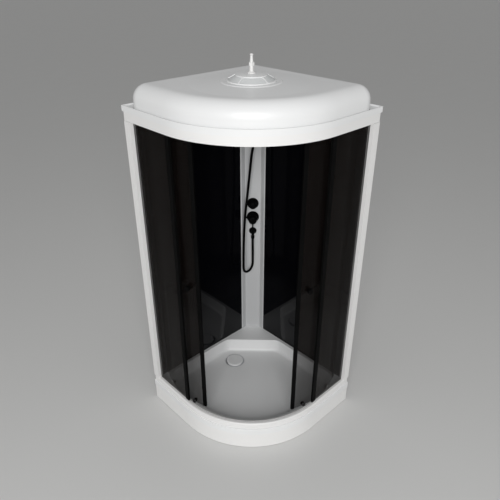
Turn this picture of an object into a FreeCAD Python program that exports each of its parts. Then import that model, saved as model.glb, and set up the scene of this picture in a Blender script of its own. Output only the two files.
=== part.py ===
import FreeCAD, Part
import math
import os
import Sketcher
from FreeCAD import Placement, Rotation, Vector

# Quarter-round corner shower cabin, in millimetres.
# The origin is the floor point under the middle of the square footprint, +Z is up.
# The room's walls stand at +X and +Y, and the round front faces -X and -Y.
# An inset is the distance inward from the outline: straight, round, straight.
SIZES = {
    # plan
    "cabin_side": 900,
    "front_radius": 550,
    "seat_gap": 0.3,
    "overrun": 5,
    # tray
    "tray_top": 150,
    "tray_lip_drop": 40,
    "tray_lip_wall": 4.5,
    "tray_rim_wall": 5,
    "tray_corner_round": 6,
    "tray_edge_round": 2.5,
    "basin_depth": 80,
    "basin_wall": 6,
    "basin_front_ledge": 78,
    "basin_wall_ledge": 27,
    "basin_corner_cut": 259,
    "basin_lean": 18,
    "basin_bend_round": 75,
    "basin_floor_round": 20,
    # drain
    "drain_side_inset": 335,
    "drain_back_inset": 165,
    "drain_hole_radius": 45,
    "drain_recess_radius": 67,
    "drain_recess_depth": 3,
    "drain_neck_wall": 3,
    "drain_cover_radius": 57.5,
    "drain_cover_rise": 9,
    "drain_cover_wall": 3,
    "trap_radius": 54,
    "trap_wall": 3,
    "trap_depth": 50,
    "waste_radius": 20,
    "waste_reach": 110,
    "waste_spigot_length": 40,
    # skirt, frame and feet
    "apron_inset": 2,
    "apron_wall": 4,
    "apron_floor_gap": 3,
    "apron_lip_gap": 2,
    "apron_hem": 14,
    "tube_side": 25,
    "tube_wall": 2,
    "tube_wall_inset": 75,
    "tube_back_inset": 262,
    "tube_end_gap": 12,
    "foot_pad_radius": 25,
    "foot_pad_height": 8,
    "foot_collar_radius": 12,
    "stud_radius": 6,
    "stud_nut_radius": 10,
    "stud_nut_height": 8,
    "stud_hole_play": 0.4,
    "foot_end_inset": 50,
    "front_foot_reach": 58,
    "middle_foot_offset": 30,
    "bracket_width": 40,
    "bracket_wall": 2,
    "bracket_reach": 45,
    "bracket_rise": 38,
    # rails: heights and insets of the extrusions
    "profile_wall": 2,
    "rail_inset": 8,
    "bottom_rail_rise": 38,
    "bottom_rail_chamfer": 6,
    "groove_depth": 16,
    "glass_play": 0.5,
    "bottom_track_rise": 18,
    "bottom_track_inset": 57,
    "track_wall": 3,
    "top_rail_bottom": 1861,
    "top_rail_rise": 44,
    "top_track_level": 10,
    "top_track_inset": 42,
    "rail_web_inset": 5,
    "top_rib_drop": 9,
    # standing panels
    "glass_wall": 4,
    "fixed_glass_inset": 28,
    "wall_profile_inset": 6,
    "wall_profile_width": 48,
    "wall_profile_slot": 20,
    "wall_profile_inner": 38,
    "panel_gap": 2,
    "edge_seal_start": 10,
    "edge_seal_width": 28,
    "edge_seal_cover": 4,
    "edge_seal_slot": 14,
    # corner column
    "column_leg": 118,
    "column_face_half": 51,
    "column_face_depth": 60,
    "column_edge_flat": 7,
    "column_wall": 3,
    # doors
    "door_inset": 58.5,
    "door_bottom": 171,
    "door_top_lap": 1,
    "roller_spacing": 226,
    "rear_roller_inset": 132,
    "front_roller_lead": 20,
    "roller_lead": 74,
    "door_tail": 112,
    "right_door_rest": 1.85,
    "front_seal_width": 22,
    "front_seal_reach": 10,
    "seal_wall": 3.5,
    "rear_seal_width": 14,
    "rear_seal_reach": 6,
    "rear_seal_wall": 2.5,
    "top_wheel_inset": 33,
    "top_wheel_radius": 11,
    "top_wheel_width": 8,
    "bottom_wheel_inset": 49,
    "bottom_wheel_radius": 12,
    "bottom_wheel_width": 7,
    "wheel_bore_radius": 3.05,
    "wheel_play": 0.05,
    "wheel_tread_dip": 1,
    "axle_cap_radius": 5,
    "axle_cap_wall": 1.6,
    "hanger_width": 36,
    "hanger_wall": 2.5,
    "hanger_drop": 42,
    "hanger_rise": 9,
    "clamp_radius": 11,
    "clamp_wall": 5,
    "clamp_drop": 30,
    "button_radius": 11.5,
    "button_height": 13,
    "glass_hole_radius": 5,
    "knob_level": 1023,
    "knob_back": 60,
    "knob_radius": 16.5,
    "knob_reach": 25,
    "knob_neck_radius": 8.5,
    "knob_inner_reach": 20,
    # roof
    "roof_lip_lap": 2,
    "roof_lip_height": 34,
    "roof_wall": 4,
    "roof_step": 7,
    "roof_seam_inset": 4,
    "roof_seam_rise": 6,
    "dome_inset": 10,
    "dome_wall_inset": 42,
    "dome_height": 108,
    "dome_corner_round": 80,
    "dome_edge_round": 72,
    "dome_crown_radius": 300,
    "dome_crown_rise": 7,
    "dome_step_radius": 149,
    "dome_step_rise": 3,
    "dome_step_slope": 5,
    # shower housing in the roof
    "dish_radius": 120,
    "dish_ring_width": 7,
    "dish_ring_height": 6,
    "dish_inner_radius": 77,
    "dish_rise": 27,
    "dish_panel_wall": 2,
    "dish_spoke_width": 6,
    "dish_spoke_height": 4,
    "dish_spokes": 8,
    "dish_cap_rise": 6,
    "head_radius": 100,
    "head_wall": 12,
    "head_drop": 60,
    "stem_radius": 9.75,
    "stem_flange_radius": 19.5,
    "stem_flange_wall": 9,
    "stem_rise": 34,
    "stem_nut_radius": 14,
    "stem_nut_height": 15,
    "barb_radius": 8.5,
    "barb_tip_radius": 6,
    "barb_flare_radius": 9,
    "barb_rise": 38,
    "barb_bore_radius": 3.5,
    # mixer, diverter and hose outlet on the column
    "mixer_level": 1063,
    "diverter_level": 1161,
    "outlet_level": 960,
    "mixer_body_radius": 16,
    "mixer_body_back": 27,
    "mixer_body_over": 30,
    "mixer_neck_radius": 14,
    "mixer_neck_reach": 8,
    "inlet_spread": 17,
    "inlet_radius": 10.4,
    "inlet_reach": 24,
    "inlet_bore": 7,
    "mixer_disc_radius": 41,
    "diverter_disc_radius": 38.5,
    "disc_wall": 6,
    "knob_play": 0.3,
    "mixer_collar_radius": 26,
    "mixer_collar_reach": 20,
    "mixer_pointer_length": 45,
    "lever_wall": 3.2,
    "lever_length": 58,
    "lever_width": 9,
    "diverter_knob_radius": 23,
    "diverter_knob_reach": 30,
    "pointer_length": 42,
    "pointer_width": 13,
    "pointer_wall": 8,
    "outlet_disc_radius": 25.5,
    "outlet_out": 34,
    "outlet_stub_radius": 11,
    "outlet_nipple_radius": 8.5,
    "outlet_drop": 22,
    "hose_nut_radius": 11.5,
    "hose_nut_height": 20,
    # hand shower and its holder
    "hose_radius": 8,
    "handset_out": 72,
    "handset_across": 4,
    "handset_drop": 201,
    "handle_radius": 11.5,
    "handle_foot_radius": 10,
    "handle_length": 176,
    "handle_shoulder_radius": 15,
    "handset_head_radius": 44,
    "handset_head_wall": 20,
    "handset_head_lift": 14,
    "holder_rise": 92,
    "holder_disc_radius": 26,
    "holder_arm_radius": 10,
    "holder_ring_radius": 19,
    "holder_ring_height": 26,
    "holder_play": 0.4,
    "holder_mouth": 16,
}

doc = FreeCAD.newDocument("shower_cabin")
sheet = doc.addObject("Spreadsheet::Sheet", "sizes")
for row, (name, value) in enumerate(SIZES.items(), 1):
    sheet.set("A%d" % row, name)
    sheet.set("B%d" % row, str(value))
    sheet.setAlias("B%d" % row, name)
doc.recompute()


class Size:
    """A number together with the sheet expression that gives it."""

    def __init__(self, value, text):
        self.value = value
        self.text = text

    def joined(self, other, sign, value, swap=False):
        texts = [self.text, other.text if isinstance(other, Size) else repr(other)]
        if swap:
            texts.reverse()
        return Size(value, "(%s %s %s)" % (texts[0], sign, texts[1]))

    def __float__(self):
        return float(self.value)

    def __add__(self, other):
        return self.joined(other, "+", self.value + float(other))

    __radd__ = __add__

    def __sub__(self, other):
        return self.joined(other, "-", self.value - float(other))

    def __rsub__(self, other):
        return self.joined(other, "-", float(other) - self.value, True)

    def __mul__(self, other):
        return self.joined(other, "*", self.value * float(other))

    __rmul__ = __mul__

    def __truediv__(self, other):
        return self.joined(other, "/", self.value / float(other))

    def __neg__(self):
        return Size(-self.value, "(-%s)" % self.text)


class Cells:
    """The sheet's cells as sizes, by name."""

    def __getattr__(self, name):
        return Size(float(getattr(sheet, name)), "sizes." + name)


s = Cells()
half = s.cabin_side / 2
arc_centre = s.front_radius - half
root_two = math.sqrt(2)
snap = 0.01
drain_x = half - s.drain_side_inset
drain_y = half - s.drain_back_inset


def lesser(first, second):
    """The smaller of two sizes."""
    return Size(min(float(first), float(second)), "min(%s; %s)" % (first.text, second.text))


def bind(thing, prop, amount):
    """Set a property to a size and keep it bound to the sheet."""
    thing.setExpression(prop, amount.text)


def origin_plane(body, role):
    return [feature for feature in body.Origin.OriginFeatures if feature.Role == role][0]


def new_body(label):
    body = doc.addObject("PartDesign::Body", label)
    body.Label = label
    return body


def new_sketch(body, name, role="XY_Plane", level=None):
    """A sketch on one of its body's origin planes, moved along the plane's normal."""
    sketch = body.newObject("Sketcher::SketchObject", body.Label + "_" + name)
    sketch.AttachmentSupport = [(origin_plane(body, role), "")]
    sketch.MapMode = "FlatFace"
    if level is not None:
        bind(sketch, ".AttachmentOffset.Base.z", level)
    return sketch


def fix_coordinate(sketch, kind, axis, edge, end, amount):
    """Tie one coordinate of an edge's end to its size, or to the axis where it is zero."""
    if isinstance(amount, Size):
        number = sketch.addConstraint(Sketcher.Constraint(kind, -1, 1, edge, end, float(amount)))
        bind(sketch, "Constraints[%d]" % number, amount)
    else:
        sketch.addConstraint(Sketcher.Constraint("PointOnObject", edge, end, axis))


def draw(sketch, points, closed=True):
    """Draw lines between points. A point with a centre and a turn starts an arc instead."""
    count = len(points)
    stretches = count if closed else count - 1
    ends = []
    for number in range(stretches):
        x, y = (float(amount) for amount in points[number][:2])
        next_x, next_y = (float(amount) for amount in points[(number + 1) % count][:2])
        if len(points[number]) == 2:
            sketch.addGeometry(Part.LineSegment(Vector(x, y, 0), Vector(next_x, next_y, 0)))
            ends.append((1, 2))
            continue
        middle_x, middle_y = (float(amount) for amount in points[number][2:4])
        turn = points[number][4]
        radius = math.hypot(x - middle_x, y - middle_y)
        first = math.atan2(y - middle_y, x - middle_x)
        last = math.atan2(next_y - middle_y, next_x - middle_x)
        if turn < 0:
            first, last = last, first
        circle = Part.Circle(Vector(middle_x, middle_y, 0), Vector(0, 0, 1), radius)
        sketch.addGeometry(Part.ArcOfCircle(circle, first, last))
        ends.append((1, 2) if turn > 0 else (2, 1))
    for number in range(stretches if closed else stretches - 1):
        following = (number + 1) % stretches
        sketch.addConstraint(
            Sketcher.Constraint("Coincident", number, ends[number][1], following, ends[following][0]))
    for number in range(stretches):
        point = points[number]
        before = points[number - 1] if (closed or number) else point[:2]
        edge, end = number, ends[number][0]
        if len(before) == 2:
            fix_coordinate(sketch, "DistanceX", -2, edge, end, point[0])
            fix_coordinate(sketch, "DistanceY", -1, edge, end, point[1])
        elif abs(float(point[0]) - float(before[2])) < abs(float(point[1]) - float(before[3])):
            fix_coordinate(sketch, "DistanceX", -2, edge, end, point[0])
        else:
            fix_coordinate(sketch, "DistanceY", -1, edge, end, point[1])
        if len(point) > 2:
            fix_coordinate(sketch, "DistanceX", -2, edge, 3, point[2])
            fix_coordinate(sketch, "DistanceY", -1, edge, 3, point[3])
    if not closed:
        fix_coordinate(sketch, "DistanceX", -2, stretches - 1, ends[-1][1], points[-1][0])
        if len(points[-2]) == 2:
            fix_coordinate(sketch, "DistanceY", -1, stretches - 1, ends[-1][1], points[-1][1])


def draw_circle(sketch, radius, x=0, y=0):
    circle = Part.Circle(Vector(float(x), float(y), 0), Vector(0, 0, 1), float(radius))
    edge = sketch.addGeometry(circle)
    fix_coordinate(sketch, "DistanceX", -2, edge, 3, x)
    fix_coordinate(sketch, "DistanceY", -1, edge, 3, y)
    number = sketch.addConstraint(Sketcher.Constraint("Radius", edge, float(radius)))
    bind(sketch, "Constraints[%d]" % number, radius)


def pad(body, sketch, length, both=False):
    """Raise a sketch along its normal, or by half the length to each side."""
    feature = body.newObject("PartDesign::Pad", sketch.Label + "_pad")
    feature.Profile = sketch
    feature.SideType = "Symmetric" if both else "One side"
    bind(feature, "Length", length)
    return feature


def pocket(body, sketch, length, upward=False):
    """Cut a sketch down into its body, or up into it."""
    feature = body.newObject("PartDesign::Pocket", sketch.Label + "_pocket")
    feature.Profile = sketch
    feature.Reversed = upward
    bind(feature, "Length", length)
    return feature


def revolve(body, sketch, axis="V_Axis", arc=None):
    """Turn a sketch about one of its axes, fully or by an arc that lies half to each side."""
    feature = body.newObject("PartDesign::Revolution", sketch.Label + "_turn")
    feature.Profile = sketch
    feature.ReferenceAxis = (sketch, [axis])
    feature.Angle = 360
    if arc is not None:
        feature.Midplane = True
        bind(feature, "Angle", arc)
    return feature


def round_edges(body, chosen, radius, name):
    """Fillet the edges of the body's last feature that the chosen test picks."""
    doc.recompute()
    base = body.Tip
    names = ["Edge%d" % number for number, edge in enumerate(base.Shape.Edges, 1) if chosen(edge)]
    feature = body.newObject("PartDesign::Fillet", body.Label + "_" + name)
    feature.Base = (base, names)
    bind(feature, "Radius", radius)
    return feature


def turned(label, outline, placement=None):
    """A body turned from an outline of radius and height points."""
    body = new_body(label)
    sketch = new_sketch(body, "profile", "XZ_Plane")
    draw(sketch, outline)
    revolve(body, sketch)
    if placement:
        body.Placement = placement
    return body


def boolean(label, kind, base, tool):
    """A cut or a common of two objects."""
    result = doc.addObject("Part::" + kind, label)
    result.Label = label
    result.Base = base
    result.Tool = tool
    return result


def fused(label, things):
    result = doc.addObject("Part::MultiFuse", label)
    result.Label = label
    result.Shapes = things
    return result


def grouped(label, things):
    """Several separate solids under one name."""
    result = doc.addObject("Part::Compound", label)
    result.Label = label
    result.Links = things
    return result


def drum(label, radius, height, placement=None):
    """A plain round tool or pin, standing on its own origin."""
    cylinder = doc.addObject("Part::Cylinder", label)
    cylinder.Label = label
    bind(cylinder, "Radius", radius)
    bind(cylinder, "Height", height)
    if placement:
        cylinder.Placement = placement
    return cylinder


pieces = []


def keep(thing):
    pieces.append(thing)
    return thing


def raised(level, x=0, y=0):
    return Placement(Vector(float(x), float(y), float(level)), Rotation())


def plan(front, wall):
    """The cabin's plan, inset from the front outline and from the two walls."""
    return [
        (front - half, half - wall),
        (front - half, arc_centre, arc_centre, arc_centre, 1),
        (arc_centre, front - half),
        (half - wall, front - half),
        (half - wall, half - wall),
    ]


def basin_plan(front, wall):
    """The basin's plan: the cabin's, with the wall corner cut off for a ledge."""
    outline = plan(front, wall)[:-1]
    return outline + [
        (half - wall, half - wall - s.basin_corner_cut),
        (half - wall - s.basin_corner_cut, half - wall),
    ]


def front_profile(label, section):
    """An extrusion that follows the front outline. Its section is inset and height points."""
    body = new_body(label)
    wall_gap = s.panel_gap + s.glass_wall + s.glass_play
    path = new_sketch(body, "path")
    draw(path, [
        (-half, half - wall_gap),
        (-half, arc_centre, arc_centre, arc_centre, 1),
        (arc_centre, -half),
        (half - wall_gap, -half),
    ], closed=False)
    profile = new_sketch(body, "section", "XZ_Plane", wall_gap - half)
    draw(profile, [(inset - half, height) for inset, height in section])
    sweep = body.newObject("PartDesign::AdditivePipe", label + "_sweep")
    sweep.Profile = profile
    sweep.Spine = (path, [])
    return body


def upright(edge):
    """True for an edge that climbs, straight or leaning."""
    ends = [vertex.Point for vertex in edge.Vertexes]
    return len(ends) == 2 and abs(ends[0].z - ends[1].z) > edge.Length / 2


def level_at(edge, level):
    box = edge.BoundBox
    return abs(box.ZMin - float(level)) < snap and abs(box.ZMax - float(level)) < snap


def near(edge, x, y, reach):
    middle = edge.BoundBox.Center
    return math.hypot(middle.x - float(x), middle.y - float(y)) < float(reach)


def mirrored(label, source):
    """The right-hand twin of a left-hand piece, across the plane between the walls."""
    twin = doc.addObject("Part::Mirroring", label)
    twin.Label = label
    twin.Source = source
    twin.Base = (0, 0, 0)
    twin.Normal = (1, -1, 0)
    return twin


# Tray
basin_floor = s.tray_top - s.basin_depth
floor_bottom = basin_floor - s.basin_wall
lip_bottom = s.tray_top - s.tray_lip_drop


def make_tray():
    tray = new_body("tray")
    rim = new_sketch(tray, "rim", level=lip_bottom)
    draw(rim, plan(0, 0))
    pad(tray, rim, s.tray_lip_drop)
    round_edges(tray, lambda edge: upright(edge) and near(edge, half, half, s.cabin_side * 2)
                and abs(edge.BoundBox.Center.x) + abs(edge.BoundBox.Center.y) > float(half) * 1.9,
                s.tray_corner_round, "corners")
    under = new_sketch(tray, "underside", level=lip_bottom)
    draw(under, plan(s.tray_lip_wall, s.tray_lip_wall))
    pocket(tray, under, s.tray_lip_drop - s.tray_rim_wall, upward=True)
    front, wall = s.basin_front_ledge, s.basin_wall_ledge
    for name, kind, upper, lower, skin in (
            ("basin_out", "PartDesign::AdditiveLoft", s.tray_top - s.tray_rim_wall / 2, floor_bottom,
             s.basin_wall),
            ("basin_in", "PartDesign::SubtractiveLoft", s.tray_top, basin_floor, 0)):
        top = new_sketch(tray, name + "_top", level=upper)
        draw(top, basin_plan(front - skin, wall - skin))
        foot = new_sketch(tray, name + "_foot", level=lower)
        draw(foot, basin_plan(front + s.basin_lean - skin, wall + s.basin_lean - skin))
        loft = tray.newObject(kind, "tray_" + name)
        loft.Profile = top
        loft.Sections = [foot]
        loft.Ruled = True
    inner_levels = (float(basin_floor), float(s.tray_top))

    def basin_bend(edge):
        heights = sorted(vertex.Point.z for vertex in edge.Vertexes)
        if len(heights) != 2 or abs(heights[0] - inner_levels[0]) > snap:
            return False
        middle = edge.BoundBox.Center
        on_arc = min(middle.x, middle.y) < 0 and max(middle.x, middle.y) < float(half) / 2
        return abs(heights[1] - inner_levels[1]) < snap and not on_arc

    round_edges(tray, basin_bend, s.basin_bend_round, "bends")
    round_edges(tray, lambda edge: level_at(edge, basin_floor), s.basin_floor_round, "floor_round")
    hole = new_sketch(tray, "drain_hole", level=basin_floor)
    draw_circle(hole, s.drain_hole_radius, drain_x, drain_y)
    pocket(tray, hole, s.basin_wall + s.overrun)
    recess = new_sketch(tray, "drain_recess", level=basin_floor)
    draw_circle(recess, s.drain_recess_radius, drain_x, drain_y)
    pocket(tray, recess, s.drain_recess_depth)
    round_edges(tray, lambda edge: level_at(edge, s.tray_top), s.tray_edge_round, "rim_round")
    return tray


keep(make_tray())

# Drain
drain_place = raised(basin_floor, drain_x, drain_y)
neck = s.drain_hole_radius - s.seat_gap
flange = s.drain_recess_radius - s.seat_gap
recess_floor = -s.drain_recess_depth + s.seat_gap
keep(turned("drain_flange", [
    (neck - s.drain_neck_wall, -s.basin_wall),
    (neck, -s.basin_wall),
    (neck, recess_floor),
    (flange, recess_floor),
    (flange, recess_floor + s.drain_neck_wall * 0.5),
    (neck - s.drain_neck_wall, recess_floor + s.drain_neck_wall * 0.8),
], drain_place))
cover_base = recess_floor + s.drain_neck_wall * 0.8 + s.seat_gap
cover_foot = s.drain_hole_radius - s.drain_neck_wall * 2
keep(turned("drain_cover", [
    (0, s.drain_cover_rise),
    (0, s.drain_cover_rise - s.drain_cover_wall),
    (cover_foot - s.drain_cover_wall, s.drain_cover_rise - s.drain_cover_wall),
    (cover_foot - s.drain_cover_wall, cover_base - s.drain_cover_wall * 2),
    (cover_foot, cover_base - s.drain_cover_wall * 2),
    (cover_foot, s.drain_cover_rise - s.drain_cover_wall * 1.5),
    (s.drain_cover_radius - s.drain_cover_wall, s.drain_cover_rise - s.drain_cover_wall * 2),
    (s.drain_cover_radius - s.drain_cover_wall, cover_base),
    (s.drain_cover_radius, cover_base),
    (s.drain_cover_radius, s.drain_cover_rise - s.drain_cover_wall * 1.2),
    (s.drain_cover_radius * 0.86, s.drain_cover_rise - s.drain_cover_wall * 0.3),
], drain_place))


def make_trap():
    """The trap below the tray, with its outlet spigot towards the back wall."""
    top = floor_bottom - s.seat_gap
    cup = turned("trap_cup", [
        (0, 0),
        (s.trap_radius * 0.8, 0),
        (s.trap_radius, s.trap_depth * 0.25),
        (s.trap_radius, s.trap_depth),
        (neck - s.drain_neck_wall, s.trap_depth),
        (neck - s.drain_neck_wall, s.trap_depth - s.trap_wall),
        (s.trap_radius - s.trap_wall, s.trap_depth - s.trap_wall),
        (s.trap_radius - s.trap_wall, s.trap_depth * 0.3),
        (s.trap_radius * 0.75, s.trap_wall),
        (0, s.trap_wall),
    ], raised(top - s.trap_depth, drain_x, drain_y))
    backward = Rotation(Vector(1, 0, 0), -90)
    start = s.trap_radius - s.trap_wall * 1.5
    outlet_level = float(top - s.trap_depth + s.waste_radius + s.trap_wall)

    def outlet_place(reach):
        return Placement(Vector(float(drain_x), float(drain_y + reach), outlet_level), backward)

    root = drum("trap_root", s.waste_radius + s.trap_wall * 0.8,
                s.waste_reach - s.waste_spigot_length - start, outlet_place(start))
    outlet = drum("trap_outlet", s.waste_radius, s.waste_reach - start, outlet_place(start))
    bore = drum("trap_bore", s.waste_radius - s.trap_wall, s.waste_reach + s.overrun,
                outlet_place(start - s.overrun))
    return boolean("drain_trap", "Cut", fused("trap_blank", [cup, root, outlet]), bore)


keep(make_trap())

# Skirt round the front, below the tray's lip
apron_top = lip_bottom - s.apron_lip_gap
outer, inner = s.apron_inset, s.apron_inset + s.apron_wall
keep(front_profile("apron", [
    (outer, s.apron_floor_gap),
    (outer, apron_top),
    (inner + s.apron_hem, apron_top),
    (inner + s.apron_hem, apron_top - s.apron_wall),
    (inner, apron_top - s.apron_wall),
    (inner, s.apron_floor_gap + s.apron_wall),
    (inner + s.apron_hem, s.apron_floor_gap + s.apron_wall),
    (inner + s.apron_hem, s.apron_floor_gap),
]))

# Welded tubes under the tray, on adjustable feet
tube_top = floor_bottom - s.seat_gap
tube_bottom = tube_top - s.tube_side
tube_line = half - s.tube_wall_inset
tube_end = s.apron_inset + s.apron_wall + s.tube_end_gap
back_line = half - s.tube_back_inset
diagonal = Rotation(Vector(0, 0, 1), 45)
skirt_face = s.apron_inset + s.apron_wall + s.seat_gap
nearest = arc_centre - (s.front_radius - skirt_face) / root_two
front_foot = nearest + s.front_foot_reach / root_two
foot_spots = [
    (tube_end + s.foot_end_inset - half, back_line),
    (tube_line, tube_end + s.foot_end_inset - half),
    (tube_line, half - s.tube_end_gap - s.foot_end_inset),
    (front_foot, front_foot),
    (s.middle_foot_offset, s.middle_foot_offset),
]
diagonal_start = back_line - s.tube_side * 0.9
diagonal_end = nearest + s.tube_end_gap * 1.5


def make_tube(label, length, place, spots):
    """A square tube along its own +X, with a hole for each levelling stud."""
    body = new_body(label + "_blank")
    section = new_sketch(body, "section", "YZ_Plane")
    side = s.tube_side / 2
    draw(section, [(-side, -side), (side, -side), (side, side), (-side, side)])
    inside = side - s.tube_wall
    draw_inner(section, [(-inside, -inside), (inside, -inside), (inside, inside), (-inside, inside)])
    pad(body, section, length)
    body.Placement = place
    tools = [drum(label + "_hole_%d" % number, s.stud_radius + s.stud_hole_play, s.tube_side,
                  raised(tube_bottom - s.tube_side / 2, x, y))
             for number, (x, y) in enumerate(spots, 1)]
    return boolean(label, "Cut", body, fused(label + "_holes", tools) if len(tools) > 1 else tools[0])


def draw_inner(sketch, points):
    """Add an inner loop to a sketch whose outer loop is already drawn."""
    first = sketch.GeometryCount
    count = len(points)
    for number in range(count):
        start, finish = points[number], points[(number + 1) % count]
        sketch.addGeometry(Part.LineSegment(Vector(float(start[0]), float(start[1]), 0),
                                            Vector(float(finish[0]), float(finish[1]), 0)))
    for number in range(count):
        edge = first + number
        following = first + (number + 1) % count
        sketch.addConstraint(Sketcher.Constraint("Coincident", edge, 2, following, 1))
        fix_coordinate(sketch, "DistanceX", -2, edge, 1, points[number][0])
        fix_coordinate(sketch, "DistanceY", -1, edge, 1, points[number][1])


tube_middle = float(tube_top - s.tube_side / 2)
keep(make_tube(
    "frame_tube_back", tube_line - s.tube_side / 2 - s.seat_gap - tube_end + half,
    Placement(Vector(float(tube_end - half), float(back_line), tube_middle), Rotation()),
    foot_spots[:1]))
keep(make_tube(
    "frame_tube_side", half * 2 - tube_end - s.tube_end_gap,
    Placement(Vector(float(tube_line), float(tube_end - half), tube_middle),
              Rotation(Vector(0, 0, 1), 90)),
    foot_spots[1:3]))
keep(make_tube(
    "frame_tube_front", (diagonal_start - diagonal_end) * root_two,
    Placement(Vector(float(diagonal_end), float(diagonal_end), tube_middle), diagonal),
    foot_spots[3:]))
keep(grouped("foot_pads", [turned("foot_pad_%d" % number, [
    (0, 0),
    (s.foot_pad_radius, 0),
    (s.foot_pad_radius, s.foot_pad_height * 0.4),
    (s.foot_collar_radius, s.foot_pad_height),
    (0, s.foot_pad_height),
], raised(0, x, y)) for number, (x, y) in enumerate(foot_spots, 1)]))
nut_bottom = tube_bottom - s.seat_gap - s.stud_nut_height
keep(grouped("foot_studs", [turned("foot_stud_%d" % number, [
    (0, s.foot_pad_height + s.seat_gap / 3),
    (s.stud_radius, s.foot_pad_height + s.seat_gap / 3),
    (s.stud_radius, nut_bottom),
    (s.stud_nut_radius, nut_bottom),
    (s.stud_nut_radius, nut_bottom + s.stud_nut_height),
    (s.stud_radius, nut_bottom + s.stud_nut_height),
    (s.stud_radius, tube_bottom + s.tube_side * 0.6),
    (0, tube_bottom + s.tube_side * 0.6),
], raised(0, x, y)) for number, (x, y) in enumerate(foot_spots, 1)]))


def make_bracket(label, place):
    """An angle that ties the skirt to a tube's end. +X runs from the skirt along the tube."""
    body = new_body(label)
    section = new_sketch(body, "section", "XZ_Plane")
    low = tube_bottom - s.seat_gap - s.bracket_wall
    draw(section, [
        (0, low),
        (s.bracket_reach, low),
        (s.bracket_reach, low + s.bracket_wall),
        (s.bracket_wall, low + s.bracket_wall),
        (s.bracket_wall, low + s.bracket_rise),
        (0, low + s.bracket_rise),
    ])
    pad(body, section, s.bracket_width, both=True)
    body.Placement = place
    return body


into_arc = max(0, float(arc_centre - back_line + s.bracket_width / 2))
left_skirt = arc_centre - math.sqrt(float(s.front_radius - skirt_face) ** 2 - into_arc ** 2)
keep(grouped("apron_brackets", [
    make_bracket("apron_bracket_left", raised(0, left_skirt, back_line)),
    make_bracket("apron_bracket_right", Placement(
        Vector(float(tube_line), float(skirt_face - half), 0), Rotation(Vector(0, 0, 1), 90))),
    make_bracket("apron_bracket_front", Placement(
        Vector(float(nearest + s.seat_gap), float(nearest + s.seat_gap), 0), diagonal)),
]))

# Rails that carry the fixed glass and the door wheels
slot_near = s.fixed_glass_inset - s.glass_play
slot_far = s.fixed_glass_inset + s.glass_wall + s.glass_play
rail_base = s.tray_top + s.seat_gap
rail_top = s.tray_top + s.bottom_rail_rise
groove_floor = rail_top - s.groove_depth
track_top = s.tray_top + s.bottom_track_rise
wall_t = s.profile_wall
keep(front_profile("bottom_rail", [
    (s.rail_inset, rail_base),
    (s.rail_inset, rail_top - s.bottom_rail_chamfer),
    (s.rail_inset + s.bottom_rail_chamfer, rail_top),
    (slot_near, rail_top),
    (slot_near, groove_floor),
    (slot_far, groove_floor),
    (slot_far, rail_top),
    (slot_far + wall_t, rail_top),
    (slot_far + wall_t, track_top),
    (s.bottom_track_inset, track_top),
    (s.bottom_track_inset, track_top - s.track_wall),
    (slot_far + wall_t, track_top - s.track_wall),
    (slot_far + wall_t, rail_base),
    (slot_far, rail_base),
    (slot_far, groove_floor - wall_t),
    (slot_near - wall_t, groove_floor - wall_t),
    (slot_near - wall_t, rail_top - wall_t),
    (s.rail_inset + s.bottom_rail_chamfer + wall_t * 0.4, rail_top - wall_t),
    (s.rail_inset + wall_t, rail_top - s.bottom_rail_chamfer - wall_t * 0.4),
    (s.rail_inset + wall_t, rail_base),
]))
top_track = s.top_rail_bottom + s.top_track_level
fascia = s.rail_web_inset + wall_t
rib_bottom = top_track - s.track_wall - s.top_rib_drop
top_rail_top = s.top_rail_bottom + s.top_rail_rise
door_top = s.top_rail_bottom + s.door_top_lap
keep(front_profile("top_rail", [
    (s.rail_web_inset, s.top_rail_bottom),
    (s.rail_web_inset, top_rail_top - s.seat_gap),
    (s.rail_web_inset + s.apron_hem, top_rail_top - s.seat_gap),
    (s.rail_web_inset + s.apron_hem, top_rail_top - wall_t),
    (fascia, top_rail_top - wall_t),
    (fascia, top_track),
    (s.top_track_inset, top_track),
    (s.top_track_inset, top_track - s.track_wall),
    (slot_far + wall_t, top_track - s.track_wall),
    (slot_far + wall_t, rib_bottom),
    (slot_far, rib_bottom),
    (slot_far, top_track - s.track_wall),
    (slot_near, top_track - s.track_wall),
    (slot_near, rib_bottom),
    (slot_near - wall_t, rib_bottom),
    (slot_near - wall_t, top_track - s.track_wall),
    (fascia, top_track - s.track_wall),
    (fascia, s.top_rail_bottom),
]))

# Left side wall: profile, fixed glass, edge seal and back panel, with mirrored twins
post_bottom = rail_top + s.seat_gap
post_height = rib_bottom - s.seat_gap - post_bottom


def standing(label, outline, bottom, height):
    """A straight extrusion standing on the floor plane's outline at a height."""
    body = new_body(label)
    section = new_sketch(body, "section", level=bottom)
    draw(section, outline)
    pad(body, section, height)
    return body


def from_wall(inset, distance):
    """A plan point on the left side, from its inset and its distance from the back wall."""
    return (inset - half, half - distance)


width = s.wall_profile_width
slot_end = width - s.wall_profile_slot
inner_face = s.wall_profile_inner
left_pieces = {}
left_pieces["wall_profile"] = standing("left_wall_profile", [
    from_wall(*point) for point in (
        (s.wall_profile_inset, 0),
        (s.wall_profile_inset, width),
        (slot_near, width),
        (slot_near, slot_end),
        (slot_far, slot_end),
        (slot_far, width),
        (inner_face, width),
        (inner_face, 0),
        (inner_face - wall_t, 0),
        (inner_face - wall_t, slot_end - wall_t),
        (slot_near - wall_t, slot_end - wall_t),
        (slot_near - wall_t, width - wall_t),
        (s.wall_profile_inset + wall_t, width - wall_t),
        (s.wall_profile_inset + wall_t, 0),
    )], post_bottom, post_height)
seal_start = arc_centre + s.edge_seal_start
glass_edge = seal_start + s.edge_seal_width - s.edge_seal_slot + s.seat_gap
glass_near, glass_far = s.fixed_glass_inset - half, s.fixed_glass_inset + s.glass_wall - half
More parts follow.
